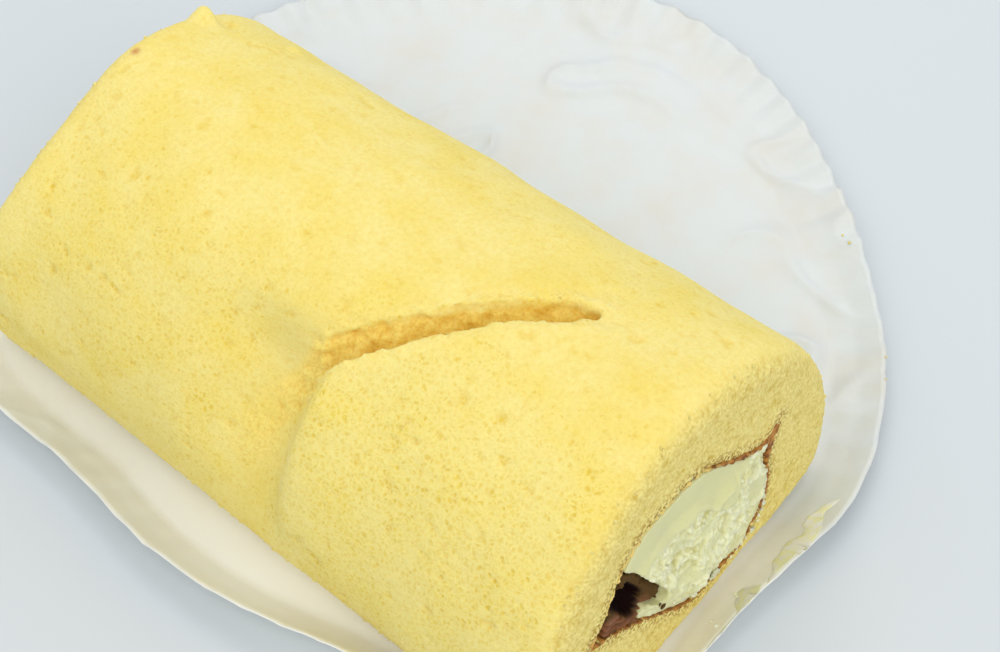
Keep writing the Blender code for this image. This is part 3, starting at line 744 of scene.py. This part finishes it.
def skin_thickness(place):
    """Share of the browned skin's greatest thickness at a place round the filling."""
    y, z = roll_section(place)
    roof = ease(9.0, 20.0, z) * ease(6.0, 13.0, y)
    pinch = ease(17.0, 19.5, y) * ease(15.0, 21.0, z)
    patch = near_to(Vector((y, z, 0.0)), SKIN_PATCH, SKIN_PATCH_SIZE)
    uneven = 1.0 + 0.8 * noise.noise(place / SKIN_GRAIN)
    return min((mix(SKIN_THINNEST, 0.5, roof) + 0.6 * pinch + 0.5 * patch) * uneven, 1.0)


# Caramelised egg and sugar: matt, granular and unevenly brown.
skin_material, skin_shader, skin_place = new_material(
    "baked_skin", Roughness=0.6, IOR=1.45, Specular_IOR_Level=0.35)
skin_noise = add_node(skin_material, "TexNoise", {"Scale": 1.0 / SKIN_STAIN, "Detail": 4.0},
                      {"Vector": skin_place})
skin_step = add_node(skin_material, "MapRange", {"From Min": 0.35, "From Max": 0.65},
                     {"Value": skin_noise.outputs["Fac"]})
skin_colour = add_node(skin_material, "Mix", {6: linear(SKIN_BROWN), 7: linear(SKIN_DARK)},
                       {0: skin_step.outputs["Result"]}, data_type="RGBA")
skin_faint = add_node(skin_material, "Attribute", attribute_name="faint").outputs["Fac"]
skin_gaps = add_node(skin_material, "MapRange", {"From Min": 0.64, "From Max": 0.54},
                     {"Value": skin_noise.outputs["Fac"]})
skin_bare = add_node(skin_material, "Math", None, {0: skin_faint, 1: skin_gaps.outputs["Result"]},
                     operation="MULTIPLY")
skin_faded = add_node(skin_material, "Mix", {7: linear(SKIN_LIGHT)},
                      {0: skin_bare.outputs["Value"], 6: skin_colour.outputs[2]}, data_type="RGBA")
feed(skin_shader, Base_Color=skin_faded.outputs[2])

for end_name, towards in (("near", 1.0), ("far", -1.0)):
    skin_piece = merged_copy("sponge", "baked_skin_" + end_name)
    mouth = set(mouth_edges(skin_piece.data, towards))
    bpy.ops.object.mode_set(mode="EDIT")
    bpy.ops.mesh.select_mode(type="EDGE")
    bpy.ops.mesh.select_all(action="DESELECT")
    bpy.ops.object.mode_set(mode="OBJECT")
    for edge in skin_piece.data.edges:
        edge.select = edge.index not in mouth
    bpy.ops.object.mode_set(mode="EDIT")
    bpy.ops.mesh.delete(type="EDGE")
    bpy.ops.mesh.select_all(action="SELECT")
    bpy.ops.mesh.subdivide(number_cuts=SKIN_CUTS)
    for _ in range(SKIN_STEPS):
        bpy.ops.mesh.extrude_edges_move(
            TRANSFORM_OT_translate={"value": (-towards * SKIN_STEP, 0.0, 0.0)})
    bpy.ops.object.mode_set(mode="OBJECT")
    thickness = skin_piece.vertex_groups.new(name="thickness")
    for vertex in skin_piece.data.vertices:
        thickness.add([vertex.index], skin_thickness(vertex.co), "REPLACE")
    apply_modifier(skin_piece, "SOLIDIFY", thickness=SKIN_THICKEST, offset=0.0,
                   vertex_group="thickness")
    apply_modifier(skin_piece, "REMESH", mode="VOXEL", voxel_size=SKIN_VOXEL)
    skin_piece.vertex_groups.clear()
    faint = []
    for vertex, normal in zip(skin_piece.data.vertices, vertex_normals(skin_piece)):
        y, z = roll_section(vertex.co)
        outer = 1.0 - ease(0.0, 1.2 * MM, end_depth(vertex.co))
        rough = SKIN_ROUGH * grain(vertex.co, SKIN_GRAIN)
        vertex.co += normal * rough * mix(0.3, 1.0, outer)
        faint.append(ease(10.0, 5.0, y) * ease(18.0, 22.0, z))
        vertex.co.x += towards * outer * (SKIN_PROUD * (1.0 - 1.5 * faint[-1]) + 0.5 * rough)
    add_attribute(skin_piece, "faint", faint)
    finish_piece(skin_piece, skin_material)


# Cream: whipped cream filling, wiped smooth by the knife under the sponge's roof and torn into
# crumbs and beads below it, where it also hangs over the browned skin.

FILLING_VOXEL = 0.24 * MM
FILLING_HIDDEN = 5.0 * MM
FILLING_REST = 0.03
CREAM_WIPED = ((-9.0, 22.0), (-6.9, 23.4), (-5.6, 24.2), (-3.6, 24.1), (-1.7, 23.9), (1.0, 24.1),
               (3.0, 24.4), (5.0, 23.4), (7.5, 20.4), (9.6, 18.8), (10.6, 20.2), (11.3, 22.2),
               (13.1, 22.2), (16.3, 22.0), (19.0, 22.0))
CREAM_FLOOR = ((-6.5, 14.0), (-3.1, 9.8), (0.6, 6.4), (4.8, 3.6), (9.5, 4.0), (13.9, 3.8),
               (17.4, 4.6), (18.6, 8.2), (18.4, 12.2), (17.6, 17.6))
CREAM_MIDDLE = Vector((8.0, 14.0))
CREAM_LOW_BAND = 3.4
CREAM_LUMP_PITCH = 3.6 * MM
CREAM_LUMP = 0.9 * MM
CREAM_ISLAND_PITCH = 2.9 * MM
CREAM_CURD_PITCH = 1.35 * MM
CREAM_CURD = 0.42 * MM
CREAM_GRAIN_PITCH = 0.55 * MM
CREAM_GRAIN = 0.36 * MM
CREAM_SINK = 0.7 * MM
CREAM_RIPPLE_PITCH = 4.5 * MM
CREAM_RIPPLE = 0.35 * MM
CREAM_LIP = 0.35 * MM
CREAM_FOAM = 0.5 * MM
BEAD_SEED = 11
BEADS = 45
BEAD_SMALL = 0.2 * MM
BEAD_LARGE = 0.36 * MM
CREAM_WHITE = "F0EFC4"
CREAM_CLEFT_SHADE = "CAC47A"
CREAM_SATIN = "D8D6A0"


def follow(line, value):
    """Height of a broken line at a place along it."""
    return float(np.interp(value, [x for x, _ in line], [y for _, y in line]))


def curds(place, pitch):
    """Rounded curds of uneven size: 1 on their tops and 0 in the clefts between them."""
    wobble = noise.noise_vector(place / pitch) * (0.5 * pitch)
    swell = min(2.6 * abs(noise.noise((place + wobble) / (1.3 * pitch))), 1.0)
    return 1.0 - (1.0 - swell) ** 2


def add_lump(middle, size, seed):
    """Small uneven lump with a few dozen faces, selected."""
    deselect_all()
    bpy.ops.mesh.primitive_ico_sphere_add(subdivisions=2, radius=1.0)
    lump = bpy.context.object
    for vertex in lump.data.vertices:
        swell = 1.0 + 0.45 * noise.noise(vertex.co * 1.3 + Vector((seed, 0.0, 0.0)))
        vertex.co = Vector(middle) + Vector([a * b for a, b in zip(vertex.co, size)]) * swell
    return lump


def join_pieces(pieces, name):
    deselect_all()
    for piece in pieces:
        piece.select_set(True)
    bpy.context.view_layer.objects.active = pieces[0]
    bpy.ops.object.join()
    pieces[0].name = name
    return pieces[0]


def filling_piece(node):
    """Piece for a filling: fine at both cut ends, where it shows, and coarse inside the roll."""
    piece = merged_copy(node, node + "_filling")
    apply_modifier(piece, "REMESH", mode="VOXEL", voxel_size=FILLING_VOXEL)
    select_faces(piece, lambda face: end_depth(face.center) > FILLING_HIDDEN)
    bpy.ops.mesh.decimate(ratio=FILLING_REST)
    bpy.ops.object.mode_set(mode="OBJECT")
    return piece


cream = filling_piece("cream")
clefts = []
satins = []
for vertex, normal in zip(cream.data.vertices, vertex_normals(cream)):
    place = vertex.co.copy()
    y, z = roll_section(place)
    lump = noise.noise(place / CREAM_LUMP_PITCH)
    border = z - follow(CREAM_WIPED, y) - lump
    low_band = 1.0 - ease(0.5 * CREAM_LOW_BAND, 1.5 * CREAM_LOW_BAND, z - follow(CREAM_FLOOR, y))
    island = 0.8 * ease(0.1, 0.35, noise.noise(place / CREAM_ISLAND_PITCH))
    wiped = max(ease(-0.7, 0.5, border), 0.7 * low_band * (1.0 - ease(-1.0, 5.0, y)), island)
    shown = 1.0 - ease(0.3 * MM, 2.0 * MM, end_depth(place))
    curd = curds(place, CREAM_CURD_PITCH)
    fine = curds(place, CREAM_GRAIN_PITCH)
    torn_push = CREAM_LUMP * lump + CREAM_CURD * curd + CREAM_GRAIN * fine - CREAM_SINK
    push = (1.0 - wiped) * torn_push
    push += wiped * CREAM_RIPPLE * noise.noise(place / CREAM_RIPPLE_PITCH)
    push += CREAM_LIP * math.exp(-((border - 0.5) / 0.8) ** 2)
    vertex.co = place + normal * push * shown * mix(0.1, 1.0, abs(normal.x))
    # Clefts between the torn curds, painted a darker yellow: painted shade.
    cleft_shade = (1.0 - wiped) * (1.0 - 0.5 * curd - 0.5 * fine) * (1.0 - lump)
    clefts.append(min(max(cleft_shade, 0.0), 1.0) * shown)
    satins.append(wiped * shown)
add_attribute(cream, "cleft_shade", clefts)
add_attribute(cream, "satin", satins)

# Whipped cream: an opaque white foam of fat, satin where it was wiped. Its clefts are painted
# a darker yellow: painted shade.
cream_material, cream_shader, cream_place = new_material(
    "whipped_cream", Roughness=0.42, IOR=1.45, Specular_IOR_Level=0.4, Subsurface_Weight=0.45,
    Subsurface_Radius=(1.0, 0.95, 0.6), Subsurface_Scale=1.5 * MM)
cream_cleft_shade = add_node(cream_material, "Attribute", attribute_name="cleft_shade").outputs["Fac"]
cream_satin = add_node(cream_material, "Attribute", attribute_name="satin").outputs["Fac"]
cream_top = add_node(cream_material, "Mix", {6: linear(CREAM_WHITE), 7: linear(CREAM_SATIN)},
                     {0: cream_satin}, data_type="RGBA")
cream_colour = add_node(cream_material, "Mix", {7: linear(CREAM_CLEFT_SHADE)},
                        {0: cream_cleft_shade, 6: cream_top.outputs[2]}, data_type="RGBA")
cream_grain = add_node(cream_material, "TexNoise", {"Scale": 1.0 / CREAM_FOAM, "Detail": 3.0},
                       {"Vector": cream_place})
cream_bump = add_node(cream_material, "Bump", {"Strength": 0.6, "Distance": 0.12 * MM},
                      {"Height": cream_grain.outputs["Fac"]})
feed(cream_shader, Base_Color=cream_colour.outputs[2], Normal=cream_bump.outputs["Normal"])
finish_piece(cream, cream_material, "cream")

# Beads of cream that hang on the filling's lower edge at both cut ends.
random.seed(BEAD_SEED)
for end_name, end_x, lean in (("near", END_NEAR_X, LEAN_NEAR), ("far", END_FAR_X, LEAN_FAR)):
    beads = []
    for i in range(BEADS):
        share = random.random() ** 0.7 * (len(CREAM_FLOOR) - 2) + 1.0
        k = int(share)
        next_corner = Vector(CREAM_FLOOR[min(k + 1, len(CREAM_FLOOR) - 1)])
        corner = Vector(CREAM_FLOOR[k]).lerp(next_corner, share - k)
        inward = (CREAM_MIDDLE - corner).normalized() * random.uniform(0.1, 0.7)
        y = (corner.x + inward.x) * MM + ROLL_AXIS_Y
        z = (corner.y + inward.y) * MM
        size = mix(BEAD_SMALL, BEAD_LARGE, random.random() ** 2.5)
        x = end_x + lean * z
        beads.append(add_lump((x, y, z + ROLL_BASE), (size, size * 1.2, size), i))
    finish_piece(join_pieces(beads, "cream_beads_" + end_name), cream_material)


# Chocolate: a soft dark filling beside the cream. At the cut it is a rough dull lump over a
# hollow, with glossy streaks where it was dragged out along the seam.

HOLLOW_ENDS = (Vector((-11.2, 22.6, 0.0)), Vector((-8.6, 17.6, 0.0)))
HOLLOW_WIDTH = 2.3
HOLLOW_DEPTH = 2.4 * MM
STREAK_ENDS = (Vector((-6.2, 14.4, 0.0)), Vector((-13.8, 19.3, 0.0)))
STREAK_WIDTH = 1.7
STREAK_PITCH = 0.75
STREAK_HEIGHT = 0.26 * MM
STREAK_FROM = -4.5
STREAK_FULL = -6.5
STREAK_WOBBLE = 0.35
WOBBLE_PITCH = 2.5
LUMP_PITCH = 0.8 * MM
LUMP_HEIGHT = 0.45 * MM
COCOA_GRAIN = 0.9 * MM
FLECKS = ((-4.0, 11.9, 0.45), (-4.7, 13.2, 0.25), (-2.9, 14.9, 0.22))
FLECK_PROUD = 0.5 * MM
CHOCOLATE_DULL = "5A4222"
CHOCOLATE_HOLLOW_SHADE = "160401"
CHOCOLATE_STREAK_AND_HIGHLIGHT = "8C5432"


def line_distance(point, ends):
    """Distance from a point to a straight line between two ends, and its signed side."""
    run = ends[1] - ends[0]
    share = min(max((point - ends[0]).dot(run) / run.length_squared, 0.0), 1.0)
    offset = point - ends[0] - run * share
    return offset.length, run.cross(offset).z / run.length


chocolate = filling_piece("chocolate")
hollow_shades = []
streaks = []
for vertex, normal in zip(chocolate.data.vertices, vertex_normals(chocolate)):
    place = vertex.co.copy()
    y, z = roll_section(place)
    point = Vector((y, z, 0.0))
    shown = 1.0 - ease(0.8 * MM, 2.5 * MM, end_depth(place))
    hollow_gap = line_distance(point, HOLLOW_ENDS)[0]
    streak_gap, streak_side = line_distance(point, STREAK_ENDS)
    hollow = 1.0 - ease(0.4 * HOLLOW_WIDTH, HOLLOW_WIDTH, hollow_gap)
    streak = (1.0 - ease(0.6 * STREAK_WIDTH, STREAK_WIDTH, streak_gap)) * (1.0 - hollow)
    streak *= ease(STREAK_FROM, STREAK_FULL, y)
    wobble = STREAK_WOBBLE * noise.noise(point / WOBBLE_PITCH)
    ridge = math.cos(math.tau * (streak_side + wobble) / STREAK_PITCH)
    rough = LUMP_HEIGHT * grain(place, LUMP_PITCH) * (1.0 - streak)
    outwards = math.copysign(1.0, place.x)
    push = rough + STREAK_HEIGHT * streak * ridge
    vertex.co = place + normal * push * shown
    vertex.co.x -= outwards * HOLLOW_DEPTH * hollow * shown * abs(normal.x)
    # The hollow is painted near black: painted shade in its depth.
    hollow_shades.append(ease(0.0, 0.35, hollow) * shown)
    # Streaks: a reddish brown, paler on the crests of their ridges as painted highlight.
    streaks.append(streak * (0.6 + 0.4 * ridge) * (1.0 - hollow_shades[-1]) * shown)
add_attribute(chocolate, "hollow", hollow_shades)
add_attribute(chocolate, "streak", streaks)

# Dark chocolate filling: cocoa in fat, dull where it is torn and glossy where it was smeared. Its
# hollow is painted near black as painted shade, and its streaks are paler on their crests as
# painted highlight.
chocolate_material, chocolate_shader, chocolate_place = new_material(
    "soft_dark_chocolate", IOR=1.48, Specular_IOR_Level=0.1, Coat_Roughness=0.2)
hollow_shade_share = add_node(chocolate_material, "Attribute", attribute_name="hollow").outputs["Fac"]
streak_share = add_node(chocolate_material, "Attribute", attribute_name="streak").outputs["Fac"]
cocoa = add_node(chocolate_material, "TexNoise", {"Scale": 1.0 / COCOA_GRAIN, "Detail": 4.0},
                 {"Vector": chocolate_place})
# Reddish brown in the streaks, paler on their crests: their own colour and painted highlight.
dull = add_node(chocolate_material, "Mix", {6: linear(CHOCOLATE_DULL), 7: linear(CHOCOLATE_STREAK_AND_HIGHLIGHT)},
                {0: streak_share}, data_type="RGBA")
# Painted shade: near black in the hollow.
hollow_shaded = add_node(chocolate_material, "Mix", {7: linear(CHOCOLATE_HOLLOW_SHADE)},
                    {0: hollow_shade_share, 6: dull.outputs[2]}, data_type="RGBA")
gloss = add_node(chocolate_material, "MapRange", {"To Min": 0.8, "To Max": 0.35},
                 {"Value": streak_share})
cocoa_bump = add_node(chocolate_material, "Bump", {"Strength": 0.4, "Distance": 0.1 * MM},
                      {"Height": cocoa.outputs["Fac"]})
coat_share = add_node(chocolate_material, "Math", {1: 0.3}, {0: streak_share},
                      operation="MULTIPLY")
feed(chocolate_shader, Base_Color=hollow_shaded.outputs[2], Roughness=gloss.outputs["Result"],
     Coat_Weight=coat_share.outputs["Value"], Normal=cocoa_bump.outputs["Normal"])
finish_piece(chocolate, chocolate_material, "chocolate")

# Flecks of chocolate that the knife left on the cream.
flecks = []
for i, (y, z, size) in enumerate(FLECKS):
    x = END_NEAR_X + LEAN_NEAR * z * MM + FLECK_PROUD
    middle = (x, y * MM + ROLL_AXIS_Y, z * MM + ROLL_BASE)
    flecks.append(add_lump(middle, (0.5 * size * MM, size * MM, size * MM), i + 0.5))
finish_piece(join_pieces(flecks, "chocolate_flecks"), chocolate_material)


# Smears: thin whipped cream that came off on the near edge of the paper when the roll was
# unpacked. It lies there in two ragged strips, with a few specks beside them.

SMEAR_RINGS = 160
SMEAR_SEGMENTS = 18
SMEAR_HEIGHT = 0.12 * MM
SMEAR_EDGE_PITCH = 2.0 * MM
SMEAR_STEP = 0.01
SMEAR_TAPER = 6.0
SMEAR_SINK = -0.1
SMEAR_MOTTLE = 1.5 * MM
SPECK_LIFT = 0.1 * MM
SMEAR_PALE = "FBFCF0"
SMEAR_DEEP = "FAFBC4"
SMEARS = (((63.3, 1.9, 0.4), (62.5, -0.2, 1.4), (62.1, -2.4, 2.3), (63.0, -4.4, 1.7),
           (63.2, -6.0, 1.9), (62.6, -7.8, 2.8), (62.4, -9.6, 2.5), (62.5, -11.7, 1.6),
           (62.9, -13.8, 0.7), (63.4, -16.0, 0.4)),
          ((62.8, -16.4, 0.6), (62.2, -18.2, 2.8), (62.6, -20.0, 2.0), (63.2, -22.2, 1.2),
           (63.3, -24.2, 0.6), (62.8, -26.6, 0.4), (63.0, -28.7, 0.4)))
SMEAR_SPECKS = ((60.5, -18.6, 0.28), (61.0, -18.9, 0.18), (60.4, -23.8, 0.25), (61.6, -24.6, 0.3))


def on_paper(x, y):
    """Place on the paper's upper side, or on its rim."""
    return surface_under(paper_tree, x, y, case_high.z)


def follow_route(route, share):
    """Place and width along a smear's route, eased between its points."""
    along = share * (len(route) - 1)
    k = min(int(along), len(route) - 2)
    return Vector(route[k]).lerp(Vector(route[k + 1]), ease(0.0, 1.0, along - k)) * MM


smear_pieces = []
for route in SMEARS:
    deselect_all()
    bpy.ops.mesh.primitive_uv_sphere_add(segments=SMEAR_SEGMENTS, ring_count=SMEAR_RINGS)
    smear = bpy.context.object
    for vertex in smear.data.vertices:
        share = math.acos(min(max(vertex.co.z, -1.0), 1.0)) / math.pi
        middle = follow_route(route, share)
        behind = follow_route(route, max(share - SMEAR_STEP, 0.0))
        ahead = follow_route(route, min(share + SMEAR_STEP, 1.0)) - behind
        side = Vector((-ahead.y, ahead.x)).normalized()
        turn = math.atan2(vertex.co.y, vertex.co.x)
        taper = min(math.sin(math.pi * share) * SMEAR_TAPER, 1.0)
        edge_place = Vector((middle.x, middle.y, math.copysign(1.0, math.cos(turn)) * 5.0 * MM))
        uneven = 1.0 + 0.9 * noise.noise(edge_place / SMEAR_EDGE_PITCH)
        reach = side * math.cos(turn) * middle.z * 0.5 * taper * uneven
        x = middle.x + reach.x
        y = middle.y + reach.y
        lift = SMEAR_HEIGHT * taper * max(math.sin(turn), SMEAR_SINK)
        lift *= 1.0 + 0.5 * noise.noise(Vector((x, y, 0.0)) / SMEAR_EDGE_PITCH)
        vertex.co = on_paper(x, y) + Vector((0.0, 0.0, lift))
    smear_pieces.append(smear)
for i, (x, y, size) in enumerate(SMEAR_SPECKS):
    spot = on_paper(x * MM, y * MM) + Vector((0.0, 0.0, SPECK_LIFT))
    smear_pieces.append(add_lump(spot, (size * MM, size * MM, 0.5 * size * MM), i + 20.0))
smears = join_pieces(smear_pieces, "cream_smears")
select_only(smears)
bpy.ops.object.mode_set(mode="EDIT")
bpy.ops.mesh.select_all(action="SELECT")
bpy.ops.mesh.normals_make_consistent(inside=False)
bpy.ops.object.mode_set(mode="OBJECT")

# Cream gone translucent on the paper: pale yellow-green and satin.
smear_material, smear_shader, smear_place = new_material(
    "smeared_cream", Roughness=0.35, IOR=1.45, Subsurface_Weight=0.3,
    Subsurface_Radius=(1.0, 0.95, 0.5), Subsurface_Scale=1.0 * MM)
smear_noise = add_node(smear_material, "TexNoise", {"Scale": 1.0 / SMEAR_MOTTLE, "Detail": 3.0},
                       {"Vector": smear_place})
smear_patch = add_node(smear_material, "MapRange", {"From Min": 0.42, "From Max": 0.58},
                       {"Value": smear_noise.outputs["Fac"]})
smear_colour = add_node(smear_material, "Mix", {6: linear(SMEAR_PALE), 7: linear(SMEAR_DEEP)},
                        {0: smear_patch.outputs["Result"]}, data_type="RGBA")
feed(smear_shader, Base_Color=smear_colour.outputs[2])
finish_piece(smears, smear_material)


# Crumbs: grains of torn sponge that cling to the roll's low front and to the rims of its cut ends,
# and a few that fell on the paper.

CRUMB_SEED = 5
LOW_CRUMBS = 130
LOW_REACH = 5.0 * MM
RIM_CRUMBS = 90
RIM_REACH = 1.5 * MM
CRUMB_SMALL = 0.14 * MM
CRUMB_LARGE = 0.3 * MM
LOOSE_CRUMBS = ((38.1, 40.5, 0.2), (39.8, 39.6, 0.25), (56.1, 24.5, 0.16), (57.6, 21.6, 0.15))

random.seed(CRUMB_SEED)
low_places = []
rim_places = []
for vertex, normal in zip(sponge.data.vertices, vertex_normals(sponge)):
    if vertex.co.z < LOW_REACH and normal.y < -0.3:
        low_places.append(vertex.co.copy())
    by_end = end_depth(vertex.co) < RIM_REACH and mouth_tree.find(vertex.co)[2] > RIM_BAND
    if by_end and abs(normal.x) < 0.8:
        rim_places.append(vertex.co.copy())
crumbs = []
for place in random.sample(low_places, LOW_CRUMBS) + random.sample(rim_places, RIM_CRUMBS):
    size = mix(CRUMB_SMALL, CRUMB_LARGE, random.random() ** 2.0)
    crumbs.append(add_lump(place, (size, size, size), len(crumbs) + 50.0))
for i, (x, y, size) in enumerate(LOOSE_CRUMBS):
    spot = on_paper(x * MM, y * MM) + Vector((0.0, 0.0, 0.5 * size * MM))
    crumbs.append(add_lump(spot, (size * MM, size * MM, 0.7 * size * MM), i + 200.0))
crumb_piece = join_pieces(crumbs, "sponge_crumbs")
for name in attributes:
    share = 1.0 if name == "crumb" else 0.0
    add_attribute(crumb_piece, name, [share] * len(crumb_piece.data.vertices))
finish_piece(crumb_piece, sponge_material)
